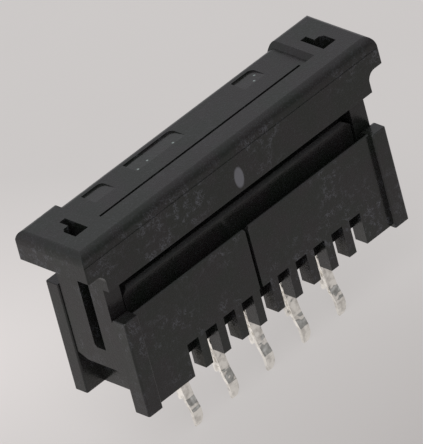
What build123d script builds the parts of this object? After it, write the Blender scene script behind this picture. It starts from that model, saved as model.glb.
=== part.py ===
from build123d import *
import os

# Top-entry connector for a flat flexible cable, with a slider that locks the cable when it is pushed down.
# Millimetres. X runs along the row of contacts, Y from the front wall to the back plate, Z up from the board.
# The origin is the middle of the housing's footprint on the board, and the slider is raised, as when open.

# Circuits
circuits = 10
pitch = 1.25
contact_span = (circuits - 1) * pitch

# Housing, outside
housing_length = 18.08
housing_depth = 5.13
back_plate_thick = 0.85
back_plate_height = 6.35
core_height = 6.30
core_end_set = 1.19
core_front_set = 1.10
core_edge_chamfer = 0.16
core_corner_long = 0.42
core_corner_tall = 0.34
wall_set = 0.275
wall_height = 5.41
wall_thick = 0.48
wall_edge_chamfer = 0.06
wall_tip = 0.05
wall_lead_drop = 0.55
groove_floor = 3.60
post_width = 0.93
post_depth = 0.98
post_lead_round = 0.34
post_round = 0.10
corner_round = 0.08

# Comb of slots at the foot of the front wall
comb_offset = 0.415
comb_slot_width = 0.76
comb_slot_height = 1.90
wall_foot_lift = 0.08
relief_width = 0.20
relief_place = -0.42
relief_foot = 1.75
relief_mouth_width = 0.37
relief_mouth_drop = 0.15

# Space under the core, where the legs leave
under_height = 0.78
under_end_set = 0.60

# Pocket for the cable and the slider's tongue
pocket_length = 14.00
pocket_front_set = 1.95
pocket_back_set = 3.68
pocket_floor = 2.00
pocket_mouth_lead = 0.18
groove_width = 0.78
groove_front_set = 1.36
groove_height = 5.65

# Contact strip
strip_width = 0.55
strip_thick = 0.20
strip_fit = 0.02
strip_bend = 0.16
beam_tip_set = 1.84
beam_tip_height = 5.40
beam_bump_set = 2.36
beam_bump_height = 4.75
beam_root_set = 1.57
beam_root_height = 2.75
back_leg_set = 3.38
leg_foot_height = 0.55
tail_length = 2.88
tail_knee_height = -1.45
tail_ankle_height = -2.10
front_knee_reach = 0.38
front_ankle_reach = 0.66
front_tip_reach = 0.70
back_knee_reach = 0.02
back_ankle_reach = 0.14
back_tip_reach = 0.18
tip_width = 0.12
tip_taper = 0.55

# Slider
travel = 1.80
seat_clearance = 0.01
flange_length = 20.26
flange_front_set = 0.40
flange_bottom = 8.30
flange_top = 9.88
flange_corner = 0.07
ear_round_long = 0.37
ear_round_tall = 0.65
edge_round_deep = 0.45
edge_round_tall = 0.70
front_ridge = 0.04
recess_half_length = 7.37
recess_ramp = 0.17
recess_depth = 0.335
rim_back_set = 2.00
slit_length = 13.80
slit_width = 0.56
apron_length = 18.20
apron_thick = 0.60
apron_fillet = 0.50
arm_clearance = 0.12
arm_end_set = 0.09
arm_front_clearance = 0.05
arm_back_clearance = 0.04
arm_bottom = 2.15
arm_chamfer_deep = 0.62
arm_chamfer_tall = 0.30
arm_slot_front_set = 2.06
arm_slot_width = 0.74
arm_slot_bottom = 3.18
arm_slot_top = 7.15
arm_slot_chamfer = 0.14
tongue_length = 13.60
tongue_thick = 0.98
tongue_bottom = 4.45
tongue_wedge_height = 1.85
tongue_wedge_deep = 0.34
tongue_nose_chamfer = 0.08
root_overlap = 0.10

# Up-stop lug on each end of the core, in the arm's slot
lug_reach = 0.40
lug_width_clearance = 0.06
lug_gap = 0.02
lug_height = 0.55
lug_lead = 0.28

# Holes and pockets in the slider's top
hole_inner_set = 8.12
hole_wide = 0.86
hole_narrow = 0.38
hole_front_set = 1.95
hole_step_set = 2.95
hole_back_set = 3.55
hole_chamfer = 0.19
hole_depth = 2.20
floor_pockets = [(-6.16, -4.81), (-3.31, -0.01), (4.15, 5.56)]
floor_pocket_front_set = 3.51
floor_pocket_back_set = 4.53
floor_pocket_depth = 0.09
floor_pocket_round = 0.30

# One overrun for every cut, and how near an edge lies to the place it is picked by
over = 0.50
near = 0.01

# An angle, in degrees
quarter_turn = 90

# Places worked out from the sizes
half_length = housing_length / 2
front = -housing_depth / 2
back = housing_depth / 2
plate_front = back - back_plate_thick
core_half = half_length - core_end_set
core_front = front + core_front_set
wall_front = front + wall_set
wall_back = wall_front + wall_thick
pocket_half = pocket_length / 2
pocket_front = front + pocket_front_set
pocket_back = front + pocket_back_set
arm_inner = core_half + arm_clearance
arm_outer = half_length - arm_end_set
arm_front = front + post_depth + arm_front_clearance
arm_back = plate_front - arm_back_clearance
slot_front = front + arm_slot_front_set
slot_back = slot_front + arm_slot_width
apron_bottom = wall_height + travel + seat_clearance
flange_front = front + flange_front_set
flange_half = flange_length / 2
rim_back = front + rim_back_set
slit_back = rim_back + slit_width
recess_floor = flange_top - recess_depth


def block(x_low, x_high, y_low, y_high, z_low, z_high):
    """A box between two corners."""
    size = (x_high - x_low, y_high - y_low, z_high - z_low)
    middle = ((x_low + x_high) / 2, (y_low + y_high) / 2, (z_low + z_high) / 2)
    return Pos(*middle) * Box(*size)


def along_x(outline, x_low, x_high):
    """A prism along X from (y, z) corners."""
    face = make_face(Plane.YZ.offset(x_low) * Polyline(*outline, close=True))
    return extrude(face, amount=x_high - x_low)


def along_y(outline, y_low, y_high):
    """A prism along Y from (x, z) corners."""
    face = make_face(Plane.XZ.offset(-y_high) * Polyline(*outline, close=True))
    return extrude(face, amount=y_high - y_low)


def along_z(outline, z_low, z_high):
    """A prism along Z from (x, y) corners."""
    face = make_face(Plane.XY.offset(z_low) * Polyline(*outline, close=True))
    return extrude(face, amount=z_high - z_low)


def both_ends(solid):
    """A solid and its mirror image across the middle of the row."""
    return solid + mirror(solid, about=Plane.YZ)


def contact_places():
    """The X place of every contact, from the first circuit to the last."""
    return [index * pitch - contact_span / 2 for index in range(circuits)]


def edges_at(solid, axis, low, high):
    """The straight edges along an axis whose middles lie inside a box given by two corners."""
    chosen = []
    for edge in solid.edges().filter_by(axis):
        middle = edge.center()
        inside_x = low[0] - near <= middle.X <= high[0] + near
        inside_y = low[1] - near <= middle.Y <= high[1] + near
        inside_z = low[2] - near <= middle.Z <= high[2] + near
        if inside_x and inside_y and inside_z:
            chosen.append(edge)
    return chosen


def strip_path(in_front):
    """The (y, z) corners of a contact's middle line, from the beam's tip to the end of the tail."""
    beam = [
        (front + beam_tip_set, beam_tip_height),
        (front + beam_bump_set, beam_bump_height),
        (front + beam_root_set, beam_root_height),
    ]
    if in_front:
        leg = front + beam_root_set
        reaches = (front_knee_reach, front_ankle_reach, front_tip_reach)
        run = []
    else:
        leg = front + back_leg_set
        reaches = (back_knee_reach, back_ankle_reach, back_tip_reach)
        bottom = pocket_floor + strip_thick / 2
        run = [(front + beam_root_set, bottom), (leg, bottom)]
    tail = [
        (leg, leg_foot_height),
        (leg - reaches[0], tail_knee_height),
        (leg - reaches[1], tail_ankle_height),
        (leg - reaches[2], strip_thick / 2 - tail_length),
    ]
    return beam + run + tail


def contact(place, in_front):
    """One stamped contact: a bent strip whose tail narrows to a rounded tip at its -X edge."""
    path = FilletPolyline(*strip_path(in_front), radius=strip_bend)
    edge_on = make_face(Wire(path.edges()).offset_2d(strip_thick / 2, side=Side.BOTH))
    low = place - strip_width / 2
    high = place + strip_width / 2
    top = beam_tip_height + over
    strip = extrude(Plane.YZ.offset(low) * edge_on, amount=strip_width)
    shoulder = (high, tip_taper - tail_length)
    tip = (low + tip_width, -tail_length)
    straight = Polyline(tip, (low, -tail_length), (low, top), (high, top), shoulder)
    curve = TangentArc(shoulder, tip, tangent=(0, -1))
    stamping = make_face(straight.edges() + curve.edges())
    return strip & extrude(Plane.XZ.offset(-back) * stamping, amount=housing_depth)


def leg_passage(place, in_front):
    """The hole in the core's floor that a contact's leg passes through."""
    leg = front + (beam_root_set if in_front else back_leg_set)
    across = strip_width / 2 + strip_fit
    deep = strip_thick / 2 + strip_fit
    return block(place - across, place + across, leg - deep, leg + deep, -over, pocket_floor + over)


def core():
    """The inner body between the end channels, with its ends down on the board."""
    body = block(-core_half, core_half, core_front, plate_front + back_plate_thick / 2, 0, core_height)
    top_front = edges_at(
        body, Axis.X, (-core_half, core_front, core_height), (core_half, core_front, core_height)
    )
    body = chamfer(top_front, core_edge_chamfer)
    corner = [
        (core_half - core_corner_long, core_height),
        (core_half, core_height - core_corner_tall),
        (core_half + over, core_height - core_corner_tall),
        (core_half + over, core_height + over),
        (core_half - core_corner_long, core_height + over),
    ]
    body -= both_ends(along_y(corner, front, plate_front))
    inner = core_half - under_end_set
    return body - block(-inner, inner, core_front, plate_front, -over, under_height)


def front_wall():
    """The thin front wall, with its inner top edge led in, and the solid foot that joins it to the core."""
    tip_front = wall_front + wall_edge_chamfer
    thin = [
        (wall_front, wall_foot_lift),
        (wall_back, wall_foot_lift),
        (wall_back, wall_height - wall_lead_drop),
        (tip_front + wall_tip, wall_height),
        (tip_front, wall_height),
        (wall_front, wall_height - wall_edge_chamfer),
    ]
    wall = along_x(thin, -half_length + post_width, half_length - post_width)
    return wall + block(-core_half, core_half, wall_front, core_front, wall_foot_lift, groove_floor)


def corner_post():
    """The post at the +X end of the front wall, with a rounded outer corner and a rounded lead at its back."""
    depth = front + post_depth
    inner = half_length - post_width
    post = block(inner, half_length, front, depth, 0, wall_height)
    outside = edges_at(post, Axis.Z, (half_length, front, 0), (half_length, front, wall_height))
    post = fillet(outside, post_round)
    lead = edges_at(post, Axis.X, (inner, depth, wall_height), (half_length, depth, wall_height))
    post = fillet(lead, post_lead_round)
    inside = edges_at(post, Axis.Z, (inner, front, 0), (inner, front, wall_height))
    post = fillet(inside, corner_round)
    top = edges_at(post, Axis.X, (inner, front, wall_height), (half_length, front, wall_height))
    return chamfer(top, corner_round / 2)


def comb_cut():
    """The ten slots at the foot of the front wall."""
    cuts = []
    for place in contact_places():
        middle = place + comb_offset
        low = middle - comb_slot_width / 2
        cuts.append(block(low, low + comb_slot_width, front - over, core_front, -over, comb_slot_height))
    return cuts


def relief_cut():
    """The narrow slit in the front wall, with a flared mouth at the top."""
    half = relief_width / 2
    mouth = relief_mouth_width / 2
    outline = [
        (relief_place - half, relief_foot),
        (relief_place + half, relief_foot),
        (relief_place + half, wall_height - relief_mouth_drop),
        (relief_place + mouth, wall_height),
        (relief_place + mouth, wall_height + over),
        (relief_place - mouth, wall_height + over),
        (relief_place - mouth, wall_height),
        (relief_place - half, wall_height - relief_mouth_drop),
    ]
    return along_y(outline, front - over, core_front)


def cable_pocket():
    """The pocket for the cable and the tongue, with a lead round its mouth."""
    lead = pocket_mouth_lead
    outline = [
        (pocket_front, pocket_floor),
        (pocket_back, pocket_floor),
        (pocket_back, core_height - lead),
        (pocket_back + lead, core_height),
        (pocket_back + lead, core_height + over),
        (pocket_front - lead, core_height + over),
        (pocket_front - lead, core_height),
        (pocket_front, core_height - lead),
    ]
    return along_x(outline, -pocket_half, pocket_half)


def beam_groove(place):
    """The groove in the pocket's front wall that one spring beam bends in, closed at the top."""
    half = groove_width / 2
    groove_front = front + groove_front_set
    return block(place - half, place + half, groove_front, pocket_front + over, pocket_floor, groove_height)


def stop_lug():
    """The lug on the core's +X end that stops the raised slider, with a sloped top to push it on over."""
    foot = arm_slot_bottom + lug_gap
    outline = [
        (core_half - over, foot),
        (core_half + lug_reach, foot),
        (core_half + lug_reach, foot + lug_height - lug_lead),
        (core_half, foot + lug_height),
        (core_half - over, foot + lug_height),
    ]
    return along_y(outline, slot_front + lug_width_clearance, slot_back - lug_width_clearance)


def housing():
    """The fixed moulding."""
    plate = block(-half_length, half_length, plate_front, back, 0, back_plate_height)
    upright = edges_at(plate, Axis.Z, (-half_length, plate_front, 0), (half_length, back, back_plate_height))
    plate = fillet(upright, corner_round)
    top = plate.faces().sort_by(Axis.Z)[-1]
    plate = chamfer(top.edges(), corner_round / 2)
    body = plate + core() + front_wall() + both_ends(corner_post()) + both_ends(stop_lug())
    body -= cable_pocket()
    body -= relief_cut()
    body -= comb_cut()
    for index, place in enumerate(contact_places()):
        body -= beam_groove(place)
        body -= leg_passage(place, index % 2 == 0)
    return body


def rounded_plate(low, high, top, deep, tall):
    """A plate seen edge on, from the flange's bottom up, its two top edges rounded as quarter ellipses."""
    spring = top - tall
    sides = Polyline((low, spring), (low, flange_bottom), (high, flange_bottom), (high, spring))
    right = EllipticalCenterArc((high - deep, spring), deep, tall, 0, arc_size=quarter_turn)
    level = Line((high - deep, top), (low + deep, top))
    left = EllipticalCenterArc((low + deep, spring), deep, tall, quarter_turn, arc_size=quarter_turn)
    return make_face(sides.edges() + right.edges() + level.edges() + left.edges())


def flange_side(top):
    """The flange's profile, with a fine ridge where the front rounding starts, run along its whole length."""
    profile = rounded_plate(flange_front + front_ridge, back, top, edge_round_deep, edge_round_tall)
    side = extrude(Plane.YZ.offset(-flange_half) * profile, amount=flange_length)
    ridge_top = flange_top - edge_round_tall
    return side + block(-flange_half, flange_half, flange_front, back, flange_bottom, ridge_top)


def flange():
    """The slider's top plate: rounded edges, a U-shaped rim and a recessed floor open at the back."""
    ends = rounded_plate(-flange_half, flange_half, flange_top, ear_round_long, ear_round_tall)
    plan = RectangleRounded(flange_length, back - flange_front, flange_corner)
    plate = extrude(Plane.XZ.offset(-back) * ends, amount=back - flange_front)
    plate &= Pos(0, (flange_front + back) / 2, flange_bottom) * extrude(plan, amount=flange_top)
    plate &= flange_side(flange_top)
    ramp_end = recess_half_length + recess_ramp
    ramp_start = recess_half_length - recess_ramp / recess_depth * edge_round_tall
    hollow = [
        (-ramp_start, recess_floor - edge_round_tall),
        (ramp_start, recess_floor - edge_round_tall),
        (ramp_end, flange_top),
        (ramp_end, flange_top + over),
        (-ramp_end, flange_top + over),
        (-ramp_end, flange_top),
    ]
    return plate - (along_y(hollow, rim_back, back + over) - flange_side(recess_floor))


def apron():
    """The front skirt that closes the mouth over the front wall, with a fillet under each ear."""
    half = apron_length / 2
    skirt_back = flange_front + apron_thick
    root = flange_bottom + root_overlap
    skirt = block(-half, half, flange_front, skirt_back, apron_bottom, root)
    web = block(half, half + apron_fillet, flange_front, skirt_back, flange_bottom - apron_fillet, root)
    middle = Pos(half + apron_fillet, flange_front + apron_thick / 2, flange_bottom - apron_fillet)
    bite = middle * Rot(X=quarter_turn) * Cylinder(apron_fillet, apron_thick + over)
    return skirt + both_ends(web - bite)


def arm():
    """The +X side arm, with its long slot and a chamfered foot."""
    outline = [
        (arm_front, arm_bottom),
        (arm_back - arm_chamfer_deep, arm_bottom),
        (arm_back, arm_bottom + arm_chamfer_tall),
        (arm_back, flange_bottom + root_overlap),
        (arm_front, flange_bottom + root_overlap),
    ]
    leg = along_x(outline, arm_inner, arm_outer)
    slot = [
        (slot_front, arm_slot_bottom),
        (slot_back - arm_slot_chamfer, arm_slot_bottom),
        (slot_back, arm_slot_bottom + arm_slot_chamfer),
        (slot_back, arm_slot_top),
        (slot_front, arm_slot_top),
    ]
    return leg - along_x(slot, arm_inner - over, arm_outer + over)


def tongue():
    """The wedge that presses the cable on the beams when the slider is down."""
    nose = tongue_nose_chamfer
    outline = [
        (slit_back + tongue_wedge_deep, tongue_bottom + nose),
        (slit_back + tongue_wedge_deep + nose, tongue_bottom),
        (slit_back + tongue_thick - nose, tongue_bottom),
        (slit_back + tongue_thick, tongue_bottom + nose),
        (slit_back + tongue_thick, flange_bottom + root_overlap),
        (slit_back, flange_bottom + root_overlap),
        (slit_back, tongue_bottom + tongue_wedge_height),
    ]
    return along_x(outline, -tongue_length / 2, tongue_length / 2)


def ear_hole():
    """The stepped hole in the +X ear's top."""
    wide = hole_inner_set + hole_wide
    narrow = hole_inner_set + hole_narrow
    step = front + hole_step_set
    outline = [
        (hole_inner_set, front + hole_front_set),
        (wide, front + hole_front_set),
        (wide, step - hole_chamfer),
        (wide - hole_chamfer, step),
        (narrow, step),
        (narrow, front + hole_back_set),
        (hole_inner_set, front + hole_back_set),
    ]
    return along_z(outline, flange_top - hole_depth, flange_top + over)


def floor_pocket(left, right):
    """A shallow pocket in the recessed floor, deepest at its back, with one rounded corner."""
    pocket_start = front + floor_pocket_front_set
    pocket_end = front + floor_pocket_back_set
    low = recess_floor - floor_pocket_depth
    outline = [
        (pocket_start, recess_floor),
        (pocket_end, low),
        (pocket_end, flange_top),
        (pocket_start, flange_top),
    ]
    pocket = along_x(outline, left, right)
    corner = edges_at(pocket, Axis.Z, (right, pocket_end, low), (right, pocket_end, flange_top))
    return fillet(corner, floor_pocket_round)


def slider():
    """The moving moulding."""
    body = flange() + apron() + both_ends(arm()) + tongue()
    body -= block(-slit_length / 2, slit_length / 2, rim_back, slit_back, flange_bottom - over, flange_top)
    body -= both_ends(ear_hole())
    for left, right in floor_pockets:
        body -= floor_pocket(left, right)
    return body


def write(name, solid):
    """One STEP file for each node."""
    solid.label = name
    export_step(solid, f"parts/{name}.step")


os.makedirs("parts", exist_ok=True)
write("housing", housing())
write("slider", slider())
for number, place in enumerate(contact_places(), start=1):
    write(f"contact_{number:02d}", contact(place, number % 2 == 1))
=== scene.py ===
import bpy
import math
from mathutils import Matrix, Vector


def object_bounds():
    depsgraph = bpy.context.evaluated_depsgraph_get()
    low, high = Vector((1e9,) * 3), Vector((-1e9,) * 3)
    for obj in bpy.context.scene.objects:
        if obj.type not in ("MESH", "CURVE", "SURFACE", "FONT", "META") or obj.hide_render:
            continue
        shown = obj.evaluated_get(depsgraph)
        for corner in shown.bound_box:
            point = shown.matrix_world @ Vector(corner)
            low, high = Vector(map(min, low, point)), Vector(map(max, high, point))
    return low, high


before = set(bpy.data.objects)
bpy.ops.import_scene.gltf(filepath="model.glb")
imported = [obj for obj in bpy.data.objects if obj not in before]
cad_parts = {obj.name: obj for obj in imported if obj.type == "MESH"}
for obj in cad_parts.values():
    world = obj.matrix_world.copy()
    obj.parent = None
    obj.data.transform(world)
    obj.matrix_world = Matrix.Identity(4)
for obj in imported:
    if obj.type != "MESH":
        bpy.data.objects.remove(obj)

cad_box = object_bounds()
MM = 0.001

# Camera: where the photo was taken from, in degrees, millimetres and pixels of a 423 by 444 image
CAMERA_AZIMUTH = 37.0476
CAMERA_ELEVATION = 32.7587
CAMERA_ROLL = -15.0627
CAMERA_DISTANCE = 591.914
CAMERA_AIM = (0.0, -0.065, 4.0)
CAMERA_SHIFT_RIGHT = 0.676178
CAMERA_SHIFT_UP = -0.629486
FOCAL_PIXELS = 12433.34
IMAGE_LONG_SIDE = 444
SENSOR = 36.0

# Floor, in millimetres: its colour with faint clouds, a painted pool of light at the back left, a painted
# shade that grows towards the front, and how much of its paleness the camera and reflections take unshaded
FLOOR_SIZE = 1200.0
FLOOR_COLOR = (0.640, 0.615, 0.603, 1)
FLOOR_CLOUD_NOISE = {"scale": 0.05, "detail": 3.0}
FLOOR_CLOUD_SPAN = (0.3, 0.7)
FLOOR_CLOUD_STRENGTH = 0.08
FLOOR_BRIGHT = (0.800, 0.760, 0.745, 1)
FLOOR_BRIGHT_PLACE = (-8.0, 13.0, -2.9)
FLOOR_BRIGHT_REACH = 16.0
FLOOR_SHADE = (0.480, 0.455, 0.445, 1)
FLOOR_SHADE_SPAN = (-1.0, -17.0)
FLOOR_ROUGHNESS = 0.45
FLOOR_UNSHADED_SHARE = 0.78

# A painted glow under the object, brighter than the floor, that only reflections see, from its outside
# inwards and from front to back
GLINT_PLACE = (-2.0, 2.0, -2.9)
GLINT_SPAN = (10.0, 6.5)
GLINT_FRONT_SPAN = (-2.2, -0.2)
GLINT_GAIN = 0.55

# Light: an even sky that is darker low down at the front right, and one wide lamp high at the front left
SKY_COLOR = (0.635, 0.632, 0.655, 1)
SKY_SHADE = (0.24, 0.24, 0.24, 1)
SKY_SHADE_TOWARD = (0.52, -0.85, 0.05)
SKY_SHADE_SPAN = (0.66, 0.99)
LAMP_STRENGTH = 0.65
LAMP_ANGLE = 40.0
LAMP_AZIMUTH = 215.0
LAMP_ELEVATION = 58.0

# Noise is scaled in turns per millimetre, and a span is the range of a value that a change runs over
NOISE_MIDDLE = 0.5

# Black plastic: cool and warm clouds, fine grain and specks, its gloss and its roughness
PLASTIC_COOL = (0.0125, 0.0150, 0.0118, 1)
PLASTIC_WARM = (0.0170, 0.0148, 0.0150, 1)
PLASTIC_SPECK = (0.0300, 0.0330, 0.0340, 1)
PLASTIC_GLOSS = 0.40
CLOUD_NOISE = {"scale": 0.55, "detail": 3.0}
CLOUD_SPAN = (0.40, 0.60)
CLOUD_ROUGH_SPAN = (0.3, 0.7)
CLOUD_ROUGH = (0.14, 0.28)
GRAIN_NOISE = {"scale": 7.0, "detail": 3.0, "roughness": 0.6}
SPECK_NOISE = {"scale": 11.0, "detail": 2.0, "roughness": 0.7}
SPECK_SPAN = (0.52, 0.70)
SPECK_STRENGTH = 0.85
SPECK_ROUGH_SPAN = (0.35, 0.65)
SPECK_ROUGH = (-0.06, 0.08)
SPECK_BUMP_SHARE = 0.4
BUMP_STRENGTH = 0.5
BUMP_HEIGHT = 0.014

# Scuffs: fine strokes in three directions, in broken zones, few on top faces and none in the mouth
PLASTIC_SCUFF = (0.115, 0.120, 0.135, 1)
SCUFF_NOISE = {"scale": 4.6}
SCUFF_STRETCH = (1.0, 1.0, 0.22)
SCUFF_TURNS = [(0.0, 24.0, 0.0), (20.0, -38.0, 10.0), (-30.0, 72.0, 5.0)]
SCUFF_WIDTH = 0.020
SCUFF_STRENGTH = 0.8
SCUFF_ROUGH = 0.12
SCUFF_ZONE_NOISE = {"scale": 0.35}
SCUFF_ZONE_SPAN = (0.44, 0.60)
SCUFF_BREAK_NOISE = {"scale": 2.2}
SCUFF_BREAK_SPAN = (0.48, 0.58)
SCUFF_SLOPE_SPAN = (0.5, 0.1)
SCUFF_ON_TOP = 0.15
MOUTH_MIDDLE = -1.50
MOUTH_SPAN = (0.30, 0.45)

# Worn edges, paler where the grain is high
PLASTIC_WEAR = (0.055, 0.055, 0.055, 1)
WEAR_RADIUS = 0.06
WEAR_SHARP_SPAN = (0.995, 0.85)
WEAR_GRAIN_SPAN = (0.35, 0.60)
WEAR_LEAST = 0.25
WEAR_STRENGTH = 0.4

# Tin: bright and dull patches, their roughness, and shallow dents
TIN_COLOR = (0.90, 0.88, 0.83, 1)
TIN_DULL = (0.42, 0.40, 0.37, 1)
TIN_NOISE = {"scale": 3.0, "detail": 3.0}
TIN_DULL_SPAN = (0.45, 0.68)
TIN_DULL_STRENGTH = 0.6
TIN_ROUGH_SPAN = (0.3, 0.8)
TIN_ROUGH = (0.07, 0.18)
TIN_DENT_NOISE = {"scale": 2.0, "detail": 1.0}
TIN_DENT_STRENGTH = 1.0
TIN_DENT_HEIGHT = 0.17

# Painted glints: bright specks of dust on the slider's recessed floor that catch the light, painted into the
# colour, in millimetres
DUST_GLINT_PLACES = [
    (5.28, 1.47, 9.52),
    (4.91, 1.10, 9.54),
    (-2.42, 1.17, 9.54),
    (-3.17, 1.04, 9.54),
    (-0.76, 1.05, 9.54),
]
DUST_GLINT_RADIUS = 0.050
DUST_GLINT_EDGE_SHARE = 1.5
DUST_GLINT_COLOR = (0.24, 0.29, 0.27, 1)

# Gate mark on the middle of the slider's front, in millimetres
GATE_PLACE = (0.07, 8.0)
GATE_RADII = (0.30, 0.58)
GATE_EDGE_SPAN = (1.15, 0.7)
GATE_FRONT = -2.10
GATE_COLOR = (0.200, 0.200, 0.220, 1)
GATE_STRENGTH = 0.8
GATE_ROUGH = 0.25


def look_directions():
    """The camera's right, up and backward directions, with its roll."""
    azimuth = math.radians(CAMERA_AZIMUTH)
    elevation = math.radians(CAMERA_ELEVATION)
    roll = math.radians(CAMERA_ROLL)
    backward = Vector((
        -math.sin(azimuth) * math.cos(elevation),
        -math.cos(azimuth) * math.cos(elevation),
        math.sin(elevation),
    ))
    level = (-backward).cross(Vector((0, 0, 1))).normalized()
    upright = level.cross(-backward)
    right = math.cos(roll) * level + math.sin(roll) * upright
    up = -math.sin(roll) * level + math.cos(roll) * upright
    return right, up, backward


def make_camera():
    """The photo's camera."""
    right, up, backward = look_directions()
    aim = Vector(CAMERA_AIM) - CAMERA_SHIFT_RIGHT * right - CAMERA_SHIFT_UP * up
    place = (aim + CAMERA_DISTANCE * backward) * MM
    data = bpy.data.cameras.new("camera")
    data.sensor_width = SENSOR
    data.lens = FOCAL_PIXELS * SENSOR / IMAGE_LONG_SIDE
    camera = bpy.data.objects.new("camera", data)
    bpy.context.scene.collection.objects.link(camera)
    turn = Matrix((right, up, backward)).transposed().to_4x4()
    camera.matrix_world = Matrix.Translation(place) @ turn
    bpy.context.scene.camera = camera


class Surface:
    """A material being built: its shader, and the nodes that feed it, in millimetres of the object."""

    def __init__(self, name):
        self.material = bpy.data.materials.new(name)
        self.material.use_nodes = True
        self.tree = self.material.node_tree
        self.shader = self.tree.nodes["Principled BSDF"]
        metres = self.node("ShaderNodeTexCoord").outputs["Object"]
        self.place = self.stretch(metres, (1 / MM, 1 / MM, 1 / MM))

    def node(self, kind, **settings):
        """A new node of the material."""
        made = self.tree.nodes.new(kind)
        for key, value in settings.items():
            setattr(made, key, value)
        return made

    def feed(self, socket, source):
        """Link a socket to another node's output, or set it."""
        if isinstance(source, bpy.types.NodeSocket):
            self.tree.links.new(source, socket)
        else:
            socket.default_value = source

    def stretch(self, place, scale):
        """The place scaled along each axis."""
        mapping = self.node("ShaderNodeMapping")
        self.feed(mapping.inputs["Vector"], place)
        mapping.inputs["Scale"].default_value = scale
        return mapping.outputs["Vector"]

    def turned(self, place, angles):
        """The place turned about the axes, in degrees."""
        mapping = self.node("ShaderNodeMapping")
        self.feed(mapping.inputs["Vector"], place)
        mapping.inputs["Rotation"].default_value = [math.radians(angle) for angle in angles]
        return mapping.outputs["Vector"]

    def axes(self, vector):
        """The X, Y and Z of a place or a direction."""
        made = self.node("ShaderNodeSeparateXYZ")
        self.feed(made.inputs["Vector"], vector)
        return made.outputs

    def noise(self, place, scale, detail=2.0, roughness=0.5):
        """Smooth noise about a middle value."""
        made = self.node("ShaderNodeTexNoise")
        self.feed(made.inputs["Vector"], place)
        made.inputs["Scale"].default_value = scale
        made.inputs["Detail"].default_value = detail
        made.inputs["Roughness"].default_value = roughness
        return made.outputs["Fac"]

    def between(self, value, span, result=(0.0, 1.0)):
        """A value carried from one range to another, and held inside it."""
        made = self.node("ShaderNodeMapRange", clamp=True)
        self.feed(made.inputs["Value"], value)
        sockets = ("From Min", "From Max", "To Min", "To Max")
        for socket, number in zip(sockets, (*span, *result)):
            made.inputs[socket].default_value = number
        return made.outputs["Result"]

    def compute(self, operation, first, second=0.0):
        """A sum, product or other operation on two values."""
        made = self.node("ShaderNodeMath", operation=operation)
        self.feed(made.inputs[0], first)
        self.feed(made.inputs[1], second)
        return made.outputs["Value"]

    def times(self, first, second):
        """The product of two values."""
        return self.compute("MULTIPLY", first, second)

    def mix(self, share, first, second):
        """One colour over another."""
        made = self.node("ShaderNodeMix", data_type="RGBA")
        self.feed(made.inputs["Factor"], share)
        self.feed(made.inputs["A"], first)
        self.feed(made.inputs["B"], second)
        return made.outputs["Result"]

    def bump(self, height, strength, distance):
        """Raise the surface by a height map."""
        made = self.node("ShaderNodeBump")
        self.feed(made.inputs["Height"], height)
        made.inputs["Strength"].default_value = strength
        made.inputs["Distance"].default_value = distance * MM
        self.feed(self.shader.inputs["Normal"], made.outputs["Normal"])

    def away_from(self, place):
        """The distance from a place, in millimetres."""
        away = self.node("ShaderNodeVectorMath", operation="DISTANCE")
        self.feed(away.inputs[0], self.place)
        away.inputs[1].default_value = place
        return away.outputs["Value"]

    def dust_glints(self, places, radius):
        """One inside soft round specks at the given places: dust, painted as bright glints."""
        specks = 0.0
        for place in places:
            speck = self.between(self.away_from(place), (radius * DUST_GLINT_EDGE_SHARE, radius))
            specks = self.compute("MAXIMUM", speck, specks)
        return specks

    def scratches(self, turns):
        """Fine straight scratches, one set along each turned direction."""
        lines = 0.0
        for angles in turns:
            strokes = self.stretch(self.turned(self.place, angles), SCUFF_STRETCH)
            off = self.compute("SUBTRACT", self.noise(strokes, **SCUFF_NOISE), NOISE_MIDDLE)
            off = self.compute("ABSOLUTE", off)
            lines = self.compute("MAXIMUM", self.between(off, (SCUFF_WIDTH, 0.0)), lines)
        return lines

    def facing_up(self):
        """One on faces that look up, nought on upright ones."""
        return self.axes(self.node("ShaderNodeNewGeometry").outputs["Normal"])["Z"]

    def clear_of_mouth(self):
        """Nought inside the mouth over the front wall, where nothing rubs, and one elsewhere."""
        away = self.compute("SUBTRACT", self.axes(self.place)["Y"], MOUTH_MIDDLE)
        return self.between(self.compute("ABSOLUTE", away), MOUTH_SPAN)

    def worn_edges(self, radius):
        """One on sharp edges, falling to nought within a radius of them."""
        rounded = self.node("ShaderNodeBevel")
        rounded.inputs["Radius"].default_value = radius * MM
        flat = self.node("ShaderNodeNewGeometry").outputs["Normal"]
        across = self.node("ShaderNodeVectorMath", operation="DOT_PRODUCT")
        self.feed(across.inputs[0], rounded.outputs["Normal"])
        self.feed(across.inputs[1], flat)
        return self.between(across.outputs["Value"], WEAR_SHARP_SPAN)

    def oval(self, middle, radii, front):
        """One inside a soft-edged oval on the front, given in X and Z."""
        axes = self.axes(self.place)
        across = self.compute("DIVIDE", self.compute("SUBTRACT", axes["X"], middle[0]), radii[0])
        upward = self.compute("DIVIDE", self.compute("SUBTRACT", axes["Z"], middle[1]), radii[1])
        reach = self.compute("ADD", self.times(across, across), self.times(upward, upward))
        ahead = self.compute("LESS_THAN", axes["Y"], front)
        return self.times(self.between(reach, GATE_EDGE_SPAN), ahead)


def scuffs(surface):
    """Where the plastic is scuffed, from nought to one."""
    zone = surface.between(surface.noise(surface.place, **SCUFF_ZONE_NOISE), SCUFF_ZONE_SPAN)
    breaks = surface.between(surface.noise(surface.place, **SCUFF_BREAK_NOISE), SCUFF_BREAK_SPAN)
    upright = surface.between(surface.facing_up(), SCUFF_SLOPE_SPAN, (SCUFF_ON_TOP, 1.0))
    scuff = surface.times(surface.scratches(SCUFF_TURNS), surface.times(zone, upright))
    return surface.times(scuff, surface.times(breaks, surface.clear_of_mouth()))


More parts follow.
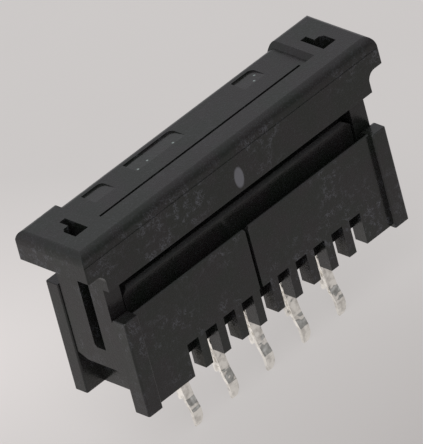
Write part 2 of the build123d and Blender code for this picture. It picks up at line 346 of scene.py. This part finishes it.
def black_plastic(name, marked):
    """Glossy black moulding: clouded, grained, scuffed and worn. The slider has dust specks painted as bright
    glints, and a gate mark too.
    """
    surface = Surface(name)
    cloud = surface.noise(surface.place, **CLOUD_NOISE)
    grain = surface.noise(surface.place, **GRAIN_NOISE)
    speck = surface.noise(surface.place, **SPECK_NOISE)
    scuff = scuffs(surface)
    uneven = surface.between(grain, WEAR_GRAIN_SPAN, (WEAR_LEAST, 1.0))
    wear = surface.times(surface.worn_edges(WEAR_RADIUS), uneven)
    color = surface.mix(surface.between(cloud, CLOUD_SPAN), PLASTIC_COOL, PLASTIC_WARM)
    color = surface.mix(surface.between(speck, SPECK_SPAN, (0.0, SPECK_STRENGTH)), color, PLASTIC_SPECK)
    color = surface.mix(surface.times(scuff, SCUFF_STRENGTH), color, PLASTIC_SCUFF)
    color = surface.mix(surface.times(wear, WEAR_STRENGTH), color, PLASTIC_WEAR)
    rough = surface.between(cloud, CLOUD_ROUGH_SPAN, CLOUD_ROUGH)
    rough = surface.compute("ADD", rough, surface.between(speck, SPECK_ROUGH_SPAN, SPECK_ROUGH))
    rough = surface.compute("ADD", rough, surface.times(scuff, SCUFF_ROUGH))
    if marked:
        # Dust specks painted as bright glints on the recessed floor
        color = surface.mix(surface.dust_glints(DUST_GLINT_PLACES, DUST_GLINT_RADIUS), color, DUST_GLINT_COLOR)
        mark = surface.oval(GATE_PLACE, GATE_RADII, GATE_FRONT)
        color = surface.mix(surface.times(mark, GATE_STRENGTH), color, GATE_COLOR)
        rough = surface.compute("ADD", rough, surface.times(mark, GATE_ROUGH))
    surface.feed(surface.shader.inputs["Base Color"], color)
    surface.feed(surface.shader.inputs["Roughness"], rough)
    surface.shader.inputs["Specular IOR Level"].default_value = PLASTIC_GLOSS
    height = surface.compute("ADD", grain, surface.times(speck, SPECK_BUMP_SHARE))
    surface.bump(height, BUMP_STRENGTH, BUMP_HEIGHT)
    return surface.material


def tin(name):
    """Bright tin plate with dull patches and shallow dents."""
    surface = Surface(name)
    patches = surface.noise(surface.place, **TIN_NOISE)
    dull = surface.between(patches, TIN_DULL_SPAN, (0.0, TIN_DULL_STRENGTH))
    surface.shader.inputs["Metallic"].default_value = 1.0
    surface.feed(surface.shader.inputs["Base Color"], surface.mix(dull, TIN_COLOR, TIN_DULL))
    surface.feed(surface.shader.inputs["Roughness"], surface.between(patches, TIN_ROUGH_SPAN, TIN_ROUGH))
    surface.bump(surface.noise(surface.place, **TIN_DENT_NOISE), TIN_DENT_STRENGTH, TIN_DENT_HEIGHT)
    return surface.material


def floor_color(surface):
    """The floor's pale colour, with its clouds, its painted pool of light and its painted shade."""
    cloud = surface.noise(surface.place, **FLOOR_CLOUD_NOISE)
    cloud = surface.between(cloud, FLOOR_CLOUD_SPAN, (0.0, FLOOR_CLOUD_STRENGTH))
    bright = surface.between(surface.away_from(FLOOR_BRIGHT_PLACE), (FLOOR_BRIGHT_REACH, 0.0))
    shade = surface.between(surface.axes(surface.place)["Y"], FLOOR_SHADE_SPAN)
    color = surface.mix(bright, FLOOR_COLOR, FLOOR_BRIGHT)
    return surface.mix(surface.compute("MAXIMUM", shade, cloud), color, FLOOR_SHADE)


def pale_floor(name):
    """The floor's material: a glow of its own colour, mostly unshaded to the camera and reflections, with the
    object's shadow kept, and a painted brighter glow under the tails that only reflections see.
    """
    surface = Surface(name)
    color = floor_color(surface)
    surface.feed(surface.shader.inputs["Base Color"], color)
    surface.shader.inputs["Roughness"].default_value = FLOOR_ROUGHNESS
    path = surface.node("ShaderNodeLightPath").outputs
    # Painted glow: the floor shines brighter under the tails, to reflections only
    under = surface.between(surface.away_from(GLINT_PLACE), GLINT_SPAN, (0.0, GLINT_GAIN))
    behind = surface.between(surface.axes(surface.place)["Y"], GLINT_FRONT_SPAN)
    gain = surface.times(path["Is Glossy Ray"], surface.times(under, behind))
    glow = surface.node("ShaderNodeEmission")
    surface.feed(glow.inputs["Color"], color)
    surface.feed(glow.inputs["Strength"], surface.compute("ADD", gain, 1.0))
    seen = surface.compute("MAXIMUM", path["Is Camera Ray"], path["Is Glossy Ray"])
    seen = surface.compute("MAXIMUM", seen, path["Is Transmission Ray"])
    blend = surface.node("ShaderNodeMixShader")
    surface.feed(blend.inputs["Fac"], surface.times(seen, FLOOR_UNSHADED_SHARE))
    surface.feed(blend.inputs[1], surface.shader.outputs["BSDF"])
    surface.feed(blend.inputs[2], glow.outputs["Emission"])
    surface.feed(surface.tree.nodes["Material Output"].inputs["Surface"], blend.outputs["Shader"])
    return surface.material


def make_floor():
    """A plain pale floor at the tips of the tails."""
    half = FLOOR_SIZE * MM / 2
    level = cad_box[0][2]
    corners = [(-half, -half, level), (half, -half, level), (half, half, level), (-half, half, level)]
    mesh = bpy.data.meshes.new("floor")
    mesh.from_pydata(corners, [], [(0, 1, 2, 3)])
    floor = bpy.data.objects.new("floor", mesh)
    bpy.context.scene.collection.objects.link(floor)
    floor.data.materials.append(pale_floor("pale_floor"))


def make_sky():
    """An even sky that darkens towards one direction."""
    world = bpy.data.worlds.new("studio")
    bpy.context.scene.world = world
    world.use_nodes = True
    tree = world.node_tree
    toward_shade = tree.nodes.new("ShaderNodeVectorMath")
    toward_shade.operation = "DOT_PRODUCT"
    toward_shade.inputs[1].default_value = Vector(SKY_SHADE_TOWARD).normalized()
    tree.links.new(tree.nodes.new("ShaderNodeTexCoord").outputs["Generated"], toward_shade.inputs[0])
    share = tree.nodes.new("ShaderNodeMapRange")
    share.inputs["From Min"].default_value = SKY_SHADE_SPAN[0]
    share.inputs["From Max"].default_value = SKY_SHADE_SPAN[1]
    tree.links.new(toward_shade.outputs["Value"], share.inputs["Value"])
    color = tree.nodes.new("ShaderNodeMix")
    color.data_type = "RGBA"
    tree.links.new(share.outputs["Result"], color.inputs["Factor"])
    color.inputs["A"].default_value = SKY_COLOR
    color.inputs["B"].default_value = SKY_SHADE
    tree.links.new(color.outputs["Result"], tree.nodes["Background"].inputs["Color"])


def make_lamp():
    """One wide, soft lamp."""
    data = bpy.data.lights.new("lamp", "SUN")
    data.energy = LAMP_STRENGTH
    data.angle = math.radians(LAMP_ANGLE)
    lamp = bpy.data.objects.new("lamp", data)
    bpy.context.scene.collection.objects.link(lamp)
    azimuth = math.radians(LAMP_AZIMUTH)
    elevation = math.radians(LAMP_ELEVATION)
    toward = Vector((
        math.cos(azimuth) * math.cos(elevation),
        math.sin(azimuth) * math.cos(elevation),
        math.sin(elevation),
    ))
    lamp.rotation_euler = toward.to_track_quat("Z", "Y").to_euler()


def dress(name, node, materials):
    """Give a node of the part its material."""
    node.data.materials.clear()
    node.data.materials.append(materials["tin" if name.startswith("contact") else name])


make_camera()
make_floor()
make_sky()
make_lamp()
materials = {
    "housing": black_plastic("housing_black", False),
    "slider": black_plastic("slider_black", True),
    "tin": tin("tinned_contact"),
}
for name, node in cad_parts.items():
    dress(name, node, materials)

bpy.context.scene.view_settings.view_transform = "Standard"
